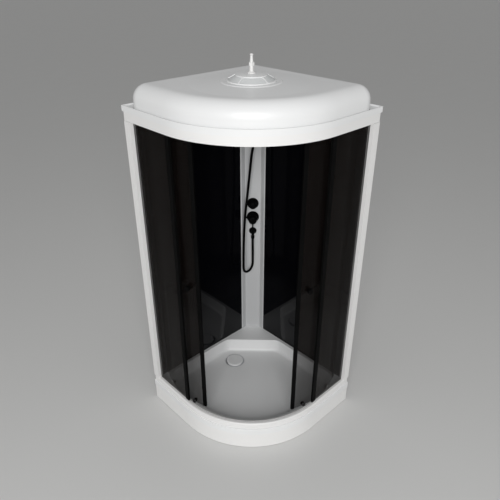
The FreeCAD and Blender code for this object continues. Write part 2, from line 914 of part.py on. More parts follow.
left_pieces["fixed_glass"] = standing("left_fixed_glass", [
    (glass_near, half - slot_end - s.seat_gap),
    (glass_near, glass_edge),
    (glass_far, glass_edge),
    (glass_far, half - slot_end - s.seat_gap),
], groove_floor + s.seat_gap, top_track - s.track_wall - s.seat_gap * 2 - groove_floor)
seal_near = glass_near - s.edge_seal_cover
seal_far = glass_far + s.edge_seal_cover
seal_end = seal_start + s.edge_seal_width
seal_play = s.seat_gap / 2
left_pieces["edge_seal"] = standing("left_edge_seal", [
    (seal_near, seal_start),
    (seal_far, seal_start),
    (seal_far, seal_end),
    (glass_far + seal_play, seal_end),
    (glass_far + seal_play, glass_edge - s.seat_gap),
    (glass_near - seal_play, glass_edge - s.seat_gap),
    (glass_near - seal_play, seal_end),
    (seal_near, seal_end),
], post_bottom, post_height)
panel_face = s.panel_gap + s.glass_wall
panel_column_end = half - s.column_leg * 0.86
left_pieces["back_panel"] = standing("left_back_panel", [
    (inner_face + s.seat_gap - half, half - panel_face),
    (panel_column_end, half - panel_face),
    (panel_column_end, half - s.panel_gap),
    (inner_face + s.seat_gap - half, half - s.panel_gap),
], s.tray_top + s.seat_gap, top_rail_top - s.tray_top - s.seat_gap * 2)
for name, piece in left_pieces.items():
    keep(piece)
    keep(mirrored("right_" + name, piece))

# Corner column, in its own frame: +Y points out of the wall corner into the cabin
corner_place = Placement(Vector(float(half), float(half), 0), Rotation(Vector(0, 0, 1), 135))
wall_clear = panel_face + s.seat_gap
edge_across = (s.column_leg - wall_clear) / root_two
edge_out = (s.column_leg + wall_clear) / root_two
face_out = s.column_face_depth
side_across = edge_across - s.column_edge_flat


def make_column():
    blank = new_body("column_blank")
    section = new_sketch(blank, "section", level=s.tray_top + s.seat_gap)
    skin = s.column_wall
    right = [
        (s.column_face_half, face_out),
        (side_across, edge_out),
        (edge_across, edge_out),
        (edge_across - skin, edge_out - skin),
        (side_across + skin * 0.4, edge_out - skin),
        (s.column_face_half + skin * 0.4, face_out - skin),
    ]
    outline = right + [(-x, y) for x, y in reversed(right)]
    draw(section, outline)
    pad(blank, section, top_rail_top - s.tray_top - s.seat_gap * 2)
    blank.Placement = corner_place
    tools = [drum("column_hole_%d" % number, radius + s.seat_gap, face_out, face_place(0, -face_out, level))
             for number, (radius, level) in enumerate((
                 (s.mixer_neck_radius, s.mixer_level),
                 (s.mixer_neck_radius, s.diverter_level),
                 (s.outlet_stub_radius, s.outlet_level)), 1)]
    return boolean("corner_column", "Cut", blank, fused("column_holes", tools))


def face_point(across, out, level):
    """A point before the column's face: across to the right, out into the cabin, and height."""
    depth = float(face_out) + float(out)
    return Vector(float(half) + (float(across) - depth) / root_two,
                  float(half) - (float(across) + depth) / root_two, float(level))


def face_place(across, out, level):
    """A frame on the column's face: +X across to the right, +Y up, +Z out into the cabin."""
    across_way = Vector(1, -1, 0).normalize()
    out_way = Vector(-1, -1, 0).normalize()
    return Placement(face_point(across, out, level),
                     Rotation(across_way, Vector(0, 0, 1), out_way, "ZXY"))


keep(make_column())

# Mixer behind the column's face, with its controls in front
mixer_back = -s.mixer_body_back
body_top = s.diverter_level + s.mixer_body_over
body_bottom = s.outlet_level - s.mixer_body_over


def make_mixer_body():
    """The brass body, with a neck through the face for each control and two inlets below."""
    spine = drum("mixer_spine", s.mixer_body_radius, body_top - body_bottom,
                 Placement(face_point(0, mixer_back, body_bottom), Rotation()))
    parts = [spine]
    for name, radius, level, reach in (
            ("mixer_neck", s.mixer_neck_radius, s.mixer_level, s.mixer_neck_reach),
            ("diverter_neck", s.mixer_neck_radius, s.diverter_level, s.mixer_neck_reach),
            ("outlet_neck", s.outlet_stub_radius, s.outlet_level, 0)):
        parts.append(drum(name, radius, s.mixer_body_back + reach, face_place(0, mixer_back, level)))
    bores = []
    for name, side in (("hot", -1), ("cold", 1)):
        place = Placement(face_point(side * s.inlet_spread, mixer_back, body_bottom - s.inlet_reach),
                          Rotation())
        parts.append(drum(name + "_inlet", s.inlet_radius, s.inlet_reach + s.inlet_spread, place))
        bores.append(drum(name + "_bore", s.inlet_bore, s.inlet_reach, place))
    return boolean("mixer_body", "Cut", fused("mixer_blank", parts), fused("mixer_bores", bores))


keep(make_mixer_body())


def make_disc(label, radius, level):
    """A round cover plate on the column's face, with a bevelled rim."""
    inside = s.mixer_neck_radius + s.seat_gap
    return turned(label, [
        (inside, s.seat_gap),
        (radius, s.seat_gap),
        (radius, s.disc_wall * 0.5),
        (radius - s.disc_wall * 0.5, s.disc_wall),
        (inside, s.disc_wall),
    ], face_place(0, 0, level))


keep(make_disc("mixer_plate", s.mixer_disc_radius, s.mixer_level))
keep(make_disc("diverter_plate", s.diverter_disc_radius, s.diverter_level))
control_base = s.mixer_neck_reach + s.knob_play
dome_middle = control_base + s.mixer_collar_reach


def add_pointer(body, length):
    """A short flat pointer to the left, at the foot of a control."""
    pointer = new_sketch(body, "pointer", level=control_base)
    wide, narrow = s.pointer_width / 2, s.pointer_width * 0.35
    draw(pointer, [
        (-length * 0.25, -wide),
        (-length * 0.25, wide),
        (-length, narrow),
        (-length, -narrow),
    ])
    pad(body, pointer, s.pointer_wall)


def make_collar():
    """The mixer's turning collar: a drum with a domed end and a pointer."""
    body = new_body("mixer_collar")
    profile = new_sketch(body, "profile", "XZ_Plane")
    draw(profile, [
        (0, control_base),
        (s.mixer_collar_radius, control_base),
        (s.mixer_collar_radius, dome_middle, 0, dome_middle, 1),
        (0, dome_middle + s.mixer_collar_radius),
    ])
    revolve(body, profile)
    add_pointer(body, s.mixer_pointer_length)
    body.Placement = face_place(0, 0, s.mixer_level)
    return body


keep(make_collar())


def make_lever():
    """The lever: a cap that rides on the collar's dome, with an arm that hangs down."""
    body = new_body("mixer_lever")
    cap = new_sketch(body, "cap", "XZ_Plane")
    inside = s.mixer_collar_radius + s.knob_play
    outside = inside + s.lever_wall
    draw(cap, [
        (inside * 0.94, dome_middle + inside * 0.3412, 0, dome_middle, 1),
        (0, dome_middle + inside),
        (0, dome_middle + outside, 0, dome_middle, -1),
        (outside * 0.94, dome_middle + outside * 0.3412),
    ])
    revolve(body, cap)
    arm = new_sketch(body, "arm", "YZ_Plane")
    root = inside + s.lever_wall / 2
    draw(arm, [
        (-root * 0.906, dome_middle + root * 0.423),
        (-s.lever_length, dome_middle + inside * 0.45),
        (-s.lever_length, dome_middle + inside * 0.45 + s.lever_wall * 1.8),
        (-outside * 0.64, dome_middle + outside * 0.85),
    ])
    pad(body, arm, s.lever_width, both=True)
    body.Placement = face_place(0, 0, s.mixer_level)
    return body


keep(make_lever())
knob_top = control_base + s.diverter_knob_reach


def make_diverter_knob():
    """A round knob with a short pointer."""
    body = new_body("diverter_knob")
    profile = new_sketch(body, "profile", "XZ_Plane")
    draw(profile, [
        (0, control_base),
        (s.diverter_knob_radius, control_base),
        (s.diverter_knob_radius, knob_top - s.disc_wall * 0.5),
        (s.diverter_knob_radius - s.disc_wall * 0.5, knob_top),
        (0, knob_top),
    ])
    revolve(body, profile)
    add_pointer(body, s.pointer_length)
    body.Placement = face_place(0, 0, s.diverter_level)
    return body


keep(make_diverter_knob())


def make_outlet():
    """The hose outlet: a round plate, a stub out of it, and a nipple that points down."""
    plate = turned("outlet_plate", [
        (0, s.seat_gap),
        (s.outlet_disc_radius, s.seat_gap),
        (s.outlet_disc_radius, s.disc_wall * 0.5),
        (s.outlet_stub_radius * 1.2, s.disc_wall * 2),
        (s.outlet_stub_radius, s.outlet_out),
        (s.outlet_stub_radius * 0.6, s.outlet_out + s.outlet_stub_radius * 0.8),
        (0, s.outlet_out + s.outlet_stub_radius),
    ], face_place(0, 0, s.outlet_level))
    nipple = drum("outlet_nipple", s.outlet_nipple_radius, s.outlet_drop,
                  Placement(face_point(0, s.outlet_out, s.outlet_level - s.outlet_drop), Rotation()))
    return fused("hose_outlet", [plate, nipple])


keep(make_outlet())
outlet_foot = s.outlet_level - s.outlet_drop


def hose_nut(label, place, wide_end):
    """A nut on the hose's end: wide where it screws on, narrow where the hose leaves."""
    wide, narrow = s.hose_nut_radius, s.hose_radius + s.profile_wall
    return turned(label, [
        (0, 0),
        (narrow, 0),
        (wide, s.hose_nut_height * 0.35),
        (wide, s.hose_nut_height - s.seat_gap),
        (0, s.hose_nut_height - s.seat_gap),
    ] if wide_end == "top" else [
        (0, s.seat_gap),
        (wide, s.seat_gap),
        (wide, s.hose_nut_height * 0.65),
        (narrow, s.hose_nut_height),
        (0, s.hose_nut_height),
    ], place)


keep(hose_nut("outlet_nut", Placement(
    face_point(0, s.outlet_out, outlet_foot - s.hose_nut_height), Rotation()), "top"))

# Hand shower in its holder, high on the column
handset_base = s.top_rail_bottom - s.handset_drop
holder_level = handset_base + s.holder_rise
handset_middle = (s.handset_across, s.handset_out)
handset_place = Placement(face_point(*handset_middle, handset_base), Rotation())
keep(hose_nut("handset_nut", Placement(
    face_point(*handset_middle, handset_base - s.hose_nut_height), Rotation()), "top"))
shoulder = holder_level + s.holder_ring_height / 2 + s.seat_gap - handset_base


def make_handset():
    """The handle, its shoulder above the holder, and the round head that faces the cabin."""
    handle = turned("handset_handle", [
        (0, 0),
        (s.handle_foot_radius, 0),
        (s.handle_radius, s.handle_length * 0.2),
        (s.handle_radius, shoulder),
        (s.handle_shoulder_radius, shoulder),
        (s.handle_shoulder_radius, shoulder + s.disc_wall),
        (s.handle_radius, shoulder + s.disc_wall * 2),
        (s.handle_radius * 0.9, s.handle_length),
        (0, s.handle_length),
    ], handset_place)
    wall = s.handset_head_wall
    head = turned("handset_head", [
        (0, -wall * 0.5),
        (s.handle_radius, -wall * 0.5),
        (s.handset_head_radius, wall * 0.15),
        (s.handset_head_radius, wall * 0.4),
        (s.handset_head_radius - wall * 0.1, wall * 0.5),
        (0, wall * 0.5),
    ], face_place(s.handset_across, s.handset_out + wall * 0.25,
                  handset_base + s.handle_length + s.handset_head_lift))
    return fused("hand_shower", [handle, head])


keep(make_handset())


def make_holder():
    """A wall plate, an arm, and a ring with a mouth that the handle lifts out of."""
    ring_inside = s.handle_radius + s.holder_play
    ring_base = holder_level - s.holder_ring_height / 2
    plate = turned("holder_plate", [
        (0, s.seat_gap),
        (s.holder_disc_radius, s.seat_gap),
        (s.holder_disc_radius, s.disc_wall * 0.6),
        (s.holder_arm_radius, s.disc_wall * 2),
        (s.holder_arm_radius, s.handset_out - ring_inside),
        (0, s.handset_out - ring_inside),
    ], face_place(s.handset_across, 0, holder_level))
    ring = drum("holder_ring", s.holder_ring_radius, s.holder_ring_height,
                Placement(face_point(*handset_middle, ring_base), Rotation()))
    bore = drum("holder_bore", ring_inside, s.holder_ring_height + s.overrun * 2,
                Placement(face_point(*handset_middle, ring_base - s.overrun), Rotation()))
    mouth = new_body("holder_mouth_tool")
    gap = new_sketch(mouth, "plan", level=ring_base - s.overrun)
    side = s.holder_mouth / 2
    draw(gap, [(-side, s.holder_mouth * 0.1), (side, s.holder_mouth * 0.1),
               (side, s.holder_ring_radius * 2), (-side, s.holder_ring_radius * 2)])
    pad(mouth, gap, s.holder_ring_height + s.overrun * 2)
    middle = face_point(*handset_middle, 0)
    mouth.Placement = Placement(middle, Rotation(Vector(0, 0, 1), 135))
    return boolean("hand_shower_holder", "Cut", fused("holder_blank", [plate, ring]),
                   fused("holder_tools", [bore, mouth]))


keep(make_holder())

# Hose from the outlet, down round a hanging loop and up the left of the controls to the
# hand shower. The route is across, out and height points before the column's face.
hose_start = float(outlet_foot - s.hose_nut_height)
hose_finish = float(handset_base - s.hose_nut_height)
HOSE_ROUTE = [
    (0, float(s.outlet_out), hose_start),
    (0, float(s.outlet_out), 864),
    (0.6, 29.5, 806),
    (0.4, 22, 752),
    (0, 18, 704.3),
    (-17.9, 41.2, 675),
    (-43.1, 74.2, 675),
    (-61, 97.4, 704.3),
    (-60.9, 96.4, 756),
    (-60.4, 92.5, 840),
    (-58, 87, 930),
    (-54.5, 81.5, 1020),
    (-48.5, 77, 1115),
    (-38, 73.5, 1210),
    (-27, 71, 1320),
    (-16, 69.8, 1430),
    (-6.5, 70, 1530),
    (float(s.handset_across), float(s.handset_out), hose_finish),
]
ARC_SHARE = 0.45


def make_hose():
    """A tube along the route's runs, joined by arcs as large as their runs allow."""
    points = [face_point(*point) for point in HOSE_ROUTE]
    last_vertical = Vector(points[-1].x, points[-1].y, points[-2].z)
    points[-1:] = [last_vertical + Vector(0, 0, (points[-1].z - last_vertical.z) * 0.4), points[-1]]
    edges = []
    radii = []
    here = points[0]
    for before, corner, after in zip(points, points[1:], points[2:]):
        back, ahead = before - corner, after - corner
        cut = ARC_SHARE * min(back.Length, ahead.Length)
        start = corner + back.normalize() * cut
        finish = corner + ahead.normalize() * cut
        half_turn = (math.pi - back.getAngle(ahead)) / 2
        radius = cut / math.tan(half_turn)
        radii.append(radius)
        to_middle = (back + ahead).normalize() * (radius / math.cos(half_turn) - radius)
        edges.append(Part.LineSegment(here, start).toShape())
        edges.append(Part.Arc(start, corner + to_middle, finish).toShape())
        here = finish
    edges.append(Part.LineSegment(here, points[-1]).toShape())
    path = Part.Wire(edges)
    ring = Part.Wire(Part.Circle(points[0], points[1] - points[0], float(s.hose_radius)).toShape())
    tube = path.makePipeShell([ring], True, False)
    hose = doc.addObject("Part::Feature", "shower_hose")
    hose.Label = "shower_hose"
    hose.Shape = tube
    section = math.pi * float(s.hose_radius) ** 2
    print("hose length %.1f, volume over section times length %.5f" % (
        path.Length, tube.Volume / (section * path.Length)))
    print("hose radii", [round(radius) for radius in radii])
    return hose


keep(make_hose())

# Roof: a lip round the edge, a recessed flange, and a rounded dome
roof_lip_bottom = top_rail_top - s.roof_lip_lap
roof_lip_top = roof_lip_bottom + s.roof_lip_height
flange_top = roof_lip_top - s.roof_step
dome_top = roof_lip_top + s.dome_height


def make_dome(label, skin, bottom):
    """The dome's solid, smaller by the skin: walls and a top, with rounded edges all round."""
    body = new_body(label)
    outline = new_sketch(body, "plan", level=bottom)
    wall = s.dome_wall_inset + skin
    draw(outline, plan(s.dome_inset + skin, wall))

    def corner(edge):
        middle = edge.BoundBox.Center
        return upright(edge) and max(middle.x, middle.y) > float(half - wall) - snap

    top = dome_top - skin
    pad(body, outline, top - bottom)
    round_edges(body, corner, s.dome_corner_round - skin, "corners")
    round_edges(body, lambda edge: level_at(edge, top), s.dome_edge_round - skin, "shoulder")
    return body


def ring_between(label, outline_out, outline_in, bottom, height):
    """A standing band between two plan outlines."""
    body = new_body(label)
    out = new_sketch(body, "outside", level=bottom)
    draw(out, outline_out)
    pad(body, out, height)
    inside = new_sketch(body, "inside", level=bottom)
    draw(inside, outline_in)
    pocket(body, inside, height, upward=True)
    return body


def make_crown(label, base, step):
    """The dome's low crown on a flat base, with a step up to the shower housing."""
    inner = s.dome_step_radius - s.dome_step_slope
    return turned(label, [
        (0, -s.roof_wall / 2),
        (s.dome_crown_radius, -s.roof_wall / 2),
        (s.dome_crown_radius, 0),
        (s.dome_step_radius, s.dome_crown_rise),
        (inner, s.dome_crown_rise + step),
        (0, s.dome_crown_rise + step),
    ], raised(base))


def make_roof():
    skin = s.roof_wall
    lip = ring_between("roof_lip", plan(0, 0), plan(skin, skin),
                       roof_lip_bottom + s.roof_seam_rise,
                       roof_lip_top - roof_lip_bottom - s.roof_seam_rise)
    seam = ring_between("roof_seam", plan(s.roof_seam_inset, s.roof_seam_inset),
                        plan(s.roof_seam_inset + skin, s.roof_seam_inset + skin),
                        top_rail_top, flange_top - top_rail_top)
    shelf = new_body("roof_shelf")
    flat = new_sketch(shelf, "plan", level=flange_top - skin)
    draw(flat, plan(skin / 2, skin / 2))
    pad(shelf, flat, skin)
    dome = make_dome("roof_dome_out", 0, flange_top - skin)
    hollow = make_dome("roof_dome_in", skin, flange_top - skin - s.overrun)
    crown = make_crown("roof_crown_out", dome_top, s.dome_step_rise)
    crown_hollow = make_crown("roof_crown_in", dome_top - skin, 0)
    outside = fused("roof_outside", [lip, seam, shelf, dome, crown])
    opening = drum("roof_opening", s.stem_radius + s.seat_gap, s.dish_rise * 2,
                   raised(dome_top - s.dish_rise))
    return boolean("roof", "Cut", outside, fused("roof_inside", [hollow, crown_hollow, opening]))


keep(make_roof())

# Shower housing in the middle of the roof
crown_top = dome_top + s.dome_crown_rise
ceiling = crown_top - s.roof_wall - s.seat_gap
dish_base = crown_top + s.dome_step_rise + s.seat_gap
ring_in = s.dish_radius - s.dish_ring_width
dish_top = dish_base + s.dish_rise
hub_ring_in = s.dish_inner_radius - s.dish_ring_width * 0.7


def make_dish_frame():
    body = new_body("dish_frame")
    outer_ring = new_sketch(body, "outer_ring", "XZ_Plane")
    draw(outer_ring, [
        (ring_in, dish_base),
        (s.dish_radius, dish_base),
        (s.dish_radius, dish_base + s.dish_ring_height * 0.6),
        (ring_in, dish_base + s.dish_ring_height),
    ])
    revolve(body, outer_ring)
    hub = new_sketch(body, "hub_ring", "XZ_Plane")
    hub_low = dish_top - s.dish_ring_height * 0.5
    hub_ring = [
        (hub_ring_in, hub_low),
        (s.dish_inner_radius, hub_low),
        (s.dish_inner_radius, dish_top + s.dish_ring_height * 0.4),
        (hub_ring_in, dish_top + s.dish_ring_height * 0.4),
    ]
    spoke = new_sketch(body, "spoke", "XZ_Plane")
    tall = s.dish_spoke_height
    draw(spoke, [
        (ring_in + s.dish_ring_width * 0.5, dish_base + s.dish_ring_height * 0.4),
        (ring_in + s.dish_ring_width * 0.5, dish_base + s.dish_ring_height * 0.4 + tall * 0.5),
        (s.dish_inner_radius - s.dish_ring_width * 0.2, dish_top + s.dish_ring_height * 0.4),
        (s.dish_inner_radius - s.dish_ring_width * 0.2, dish_top + s.dish_ring_height * 0.4 - tall),
    ])
    first = pad(body, spoke, s.dish_spoke_width, both=True)
    wheel = body.newObject("PartDesign::PolarPattern", "dish_spoke_pattern")
    wheel.Originals = [first]
    wheel.Axis = (outer_ring, ["V_Axis"])
    wheel.Angle = 360
    bind(wheel, "Occurrences", s.dish_spokes)
    body.Tip = wheel
    draw(hub, hub_ring)
    revolve(body, hub)
    return body


keep(make_dish_frame())
glass_low = dish_base + s.dish_ring_height * 0.1
keep(turned("dish_panel", [
    (ring_in - s.seat_gap, glass_low),
    (ring_in - s.seat_gap, glass_low + s.dish_panel_wall * 0.5),
    (s.dish_inner_radius + s.seat_gap, dish_top - s.dish_ring_height * 0.5),
    (hub_ring_in, dish_top - s.dish_ring_height * 0.5 - s.seat_gap),
    (hub_ring_in, dish_top - s.dish_ring_height * 0.5 - s.seat_gap - s.dish_panel_wall),
]))
cap_edge = hub_ring_in - s.seat_gap
cap_low = dish_top - s.dish_ring_height * 0.5
cap_top = dish_top + s.dish_cap_rise
stem_hole = s.stem_radius + s.seat_gap
keep(turned("dish_cap", [
    (stem_hole, cap_low),
    (cap_edge, cap_low),
    (cap_edge, cap_top - s.dish_cap_rise * 0.6),
    (cap_edge * 0.6, cap_top - s.dish_cap_rise * 0.1),
    (stem_hole, cap_top),
]))
head_top = crown_top - s.head_drop
head_base = head_top - s.head_wall


keep(turned("rain_head", [
    (stem_hole, head_base),
    (s.head_radius - s.head_wall * 0.25, head_base),
    (s.head_radius, head_base + s.head_wall * 0.25),
    (s.head_radius, head_base + s.head_wall * 0.5),
    (s.stem_flange_radius, head_top),
    (s.stem_flange_radius, ceiling),
    (stem_hole, ceiling),
]))
flange_base = cap_top + s.seat_gap
stem_top = flange_base + s.stem_rise
keep(turned("inlet_stem", [
    (s.barb_bore_radius, head_base + s.seat_gap),
    (s.stem_radius, head_base + s.seat_gap),
    (s.stem_radius, flange_base),
    (s.stem_flange_radius, flange_base),
    (s.stem_flange_radius, flange_base + s.stem_flange_wall * 0.4),
    (s.stem_radius, flange_base + s.stem_flange_wall),
    (s.stem_radius, stem_top),
    (s.barb_bore_radius, stem_top),
]))


def make_inlet_nut():
    """A hexagonal nut with its corners turned off."""
    body = new_body("inlet_nut")
    hexagon = new_sketch(body, "hexagon", level=stem_top + s.seat_gap)
    corner = s.stem_nut_radius
    draw(hexagon, [
        (corner, 0),
        (corner * 0.5, corner * math.cos(math.pi / 6)),
        (-corner * 0.5, corner * math.cos(math.pi / 6)),
        (-corner, 0),
        (-corner * 0.5, -corner * math.cos(math.pi / 6)),
        (corner * 0.5, -corner * math.cos(math.pi / 6)),
    ])
    pad(body, hexagon, s.stem_nut_height)
    bore = new_sketch(body, "bore", level=stem_top + s.seat_gap)
    draw_circle(bore, s.barb_radius + s.seat_gap)
    pocket(body, bore, s.stem_nut_height, upward=True)
    return body


keep(make_inlet_nut())
barb_base = stem_top + s.seat_gap
barb_top = barb_base + s.stem_nut_height + s.barb_rise
keep(turned("inlet_barb", [
    (s.barb_bore_radius, barb_base),
    (s.barb_radius, barb_base),
    (s.barb_radius, barb_base + s.stem_nut_height + s.barb_rise * 0.1),
    (s.barb_tip_radius, barb_top - s.barb_rise * 0.25),
    (s.barb_flare_radius, barb_top - s.barb_rise * 0.12),
    (s.barb_tip_radius, barb_top),
    (s.barb_bore_radius, barb_top),
]))

# Doors. Each is built about the axis of its own curved glass, with its middle on -X, and
# hand is 1 for the left door and -1 for the right one.
# An open door's rollers stand on the straight track; closed, the glass is coaxial with the
# round track. One turn about a fixed pole takes the door from one place to the other.
glass_out = s.front_radius - s.door_inset
glass_in = glass_out - s.glass_wall
glass_mid = glass_out - s.glass_wall / 2
degrees = 180 / math.pi
straight_room = half - arc_centre - s.rear_roller_inset + s.front_roller_lead
roller_spacing = lesser(s.roller_spacing, straight_room)
spread = roller_spacing / 2 / glass_mid * degrees
front_arc = spread + s.roller_lead / glass_mid * degrees
rear_arc = spread + s.door_tail / glass_mid * degrees
top_wheel_line = s.top_wheel_inset + s.top_wheel_width / 2
bottom_wheel_line = s.bottom_wheel_inset + s.bottom_wheel_width / 2
track_inset = float(top_wheel_line + bottom_wheel_line) / 2
track_radius = float(s.front_radius) - track_inset
half_chord = math.radians(float(spread))
open_x = track_inset - float(half) + track_radius * math.cos(half_chord)
open_y = float(half - s.rear_roller_inset - roller_spacing / 2)
seal_lead = float(s.front_seal_reach + s.seat_gap) / float(glass_mid) * degrees
door_turn = 45 - float(front_arc) - seal_lead
shift = Vector(float(arc_centre) - open_x, float(arc_centre) - open_y, 0)
middle = Vector((float(arc_centre) + open_x) / 2, (float(arc_centre) + open_y) / 2, 0)
cotangent = 1 / math.tan(math.radians(door_turn) / 2)
pole = middle + Vector(-shift.y, shift.x, 0) * (cotangent / 2)
print("left door: turn %.4f about %.4f %.4f" % (door_turn, pole.x, pole.y))


def door_frame(hand):
    """The place of a door's own frame at rest."""
    if hand > 0:
        return Placement(Vector(open_x, open_y, 0), Rotation())
    opened = Placement(Vector(open_y, open_x, 0), Rotation(Vector(0, 0, 1), 90))
    twin_pole = Vector(pole.y, pole.x, 0)
    turn = Placement(Vector(), Rotation(Vector(0, 0, 1), -float(s.right_door_rest)), twin_pole)
    return turn.multiply(opened)


def at_arc(hand, arc, level=0):
    """A frame on the door at an angle ahead of its middle: +X points out of the glass."""
    turn = Placement(Vector(0, 0, float(level)), Rotation(Vector(0, 0, 1), 180 + hand * float(arc)))
    return door_frame(hand).multiply(turn)


def curved(label, inside, outside, bottom, top, arc):
    """A curved slab about the door's axis, half its arc to each side of +X."""
    body = new_body(label)
    section = new_sketch(body, "section", "XZ_Plane")
    draw(section, [(inside, bottom), (outside, bottom), (outside, top), (inside, top)])
    revolve(body, section, arc=arc)
    return body


def radial(label, outline, place):
    """A body turned about its own +X, from distance and radius points."""
    body = new_body(label)
    profile = new_sketch(body, "profile", "XZ_Plane")
    draw(profile, outline)
    revolve(body, profile, "H_Axis")
    body.Placement = place
    return body


top_axle = top_track + s.top_wheel_radius + s.seat_gap
bottom_axle = track_top + s.bottom_wheel_radius + s.seat_gap
axle_radius = s.wheel_bore_radius - s.wheel_play


def make_wheel(label, line, radius, width_of, place_of):
    """A grooved wheel, centred on its own origin, with its axle along +X."""
    edge, bore = width_of / 2, s.wheel_bore_radius
    body = radial(label, [
        (-edge, bore),
        (-edge, radius - s.wheel_tread_dip),
        (-edge * 0.7, radius),
        (-edge * 0.35, radius - s.wheel_tread_dip),
        (edge * 0.35, radius - s.wheel_tread_dip),
        (edge * 0.7, radius),
        (edge, radius - s.wheel_tread_dip),
        (edge, bore),
    ], place_of.multiply(raised(0, s.front_radius - line)))
    return body


def make_hanger(label, place):
    """Plate, axle and glass clamp of a top wheel, in a frame at the axle's height."""
    wheel_out = s.front_radius - s.top_wheel_inset
    wheel_in = wheel_out - s.top_wheel_width
    plate_in = glass_out + s.glass_play
    body = new_body(label)
    plate = new_sketch(body, "plate", "YZ_Plane", plate_in)
    side = s.hanger_width / 2
    draw(plate, [
        (-side, -s.hanger_drop),
        (side, -s.hanger_drop),
        (side, 0),
        (side * 0.5, s.hanger_rise),
        (-side * 0.5, s.hanger_rise),
        (-side, 0),
    ])
    pad(body, plate, s.hanger_wall)
    axle = new_sketch(body, "axle", "XZ_Plane")
    play = s.wheel_play * 4
    draw(axle, [
        (plate_in + s.hanger_wall / 2, 0),
        (plate_in + s.hanger_wall / 2, s.axle_cap_radius),
        (wheel_in - play, s.axle_cap_radius),
        (wheel_in - play, axle_radius),
        (wheel_out + play, axle_radius),
        (wheel_out + play, s.axle_cap_radius),
        (wheel_out + play + s.axle_cap_wall, s.axle_cap_radius * 0.7),
        (wheel_out + play + s.axle_cap_wall, 0),
    ])
    revolve(body, axle, "H_Axis")
    body.Placement = place
    clamp_place = place.multiply(raised(-s.clamp_drop))
    clamp = radial(label + "_clamp", [
        (glass_in - s.clamp_wall, 0),
        (glass_in - s.clamp_wall, s.clamp_radius * 0.8),
        (glass_in - s.clamp_wall * 0.6, s.clamp_radius),
        (glass_in - s.seat_gap, s.clamp_radius),
        (glass_in - s.seat_gap, s.glass_hole_radius - s.seat_gap),
        (plate_in + s.hanger_wall / 2, s.glass_hole_radius - s.seat_gap),
        (plate_in + s.hanger_wall / 2, 0),
    ], clamp_place)
    return fused(label + "_whole", [body, clamp])


def make_lower_carrier(label, place):
    """Axle of a bottom wheel, through the glass to a release button inside."""
    wheel_out = s.front_radius - s.bottom_wheel_inset
    wheel_in = wheel_out - s.bottom_wheel_width
    play = s.wheel_play * 4
    button_face = glass_in - s.button_height
    return radial(label, [
        (button_face, 0),
        (button_face, s.button_radius * 0.6),
        (button_face + s.button_height * 0.35, s.button_radius * 0.65),
        (button_face + s.button_height * 0.45, s.button_radius),
        (glass_in - s.seat_gap, s.button_radius),
        (glass_in - s.seat_gap, s.glass_hole_radius - s.seat_gap),
        (wheel_in - play, s.glass_hole_radius - s.seat_gap),
        (wheel_in - play, axle_radius),
        (wheel_out + play, axle_radius),
        (wheel_out + play, s.axle_cap_radius),
        (wheel_out + play + s.axle_cap_wall, s.axle_cap_radius * 0.7),
        (wheel_out + play + s.axle_cap_wall, 0),
    ], place)


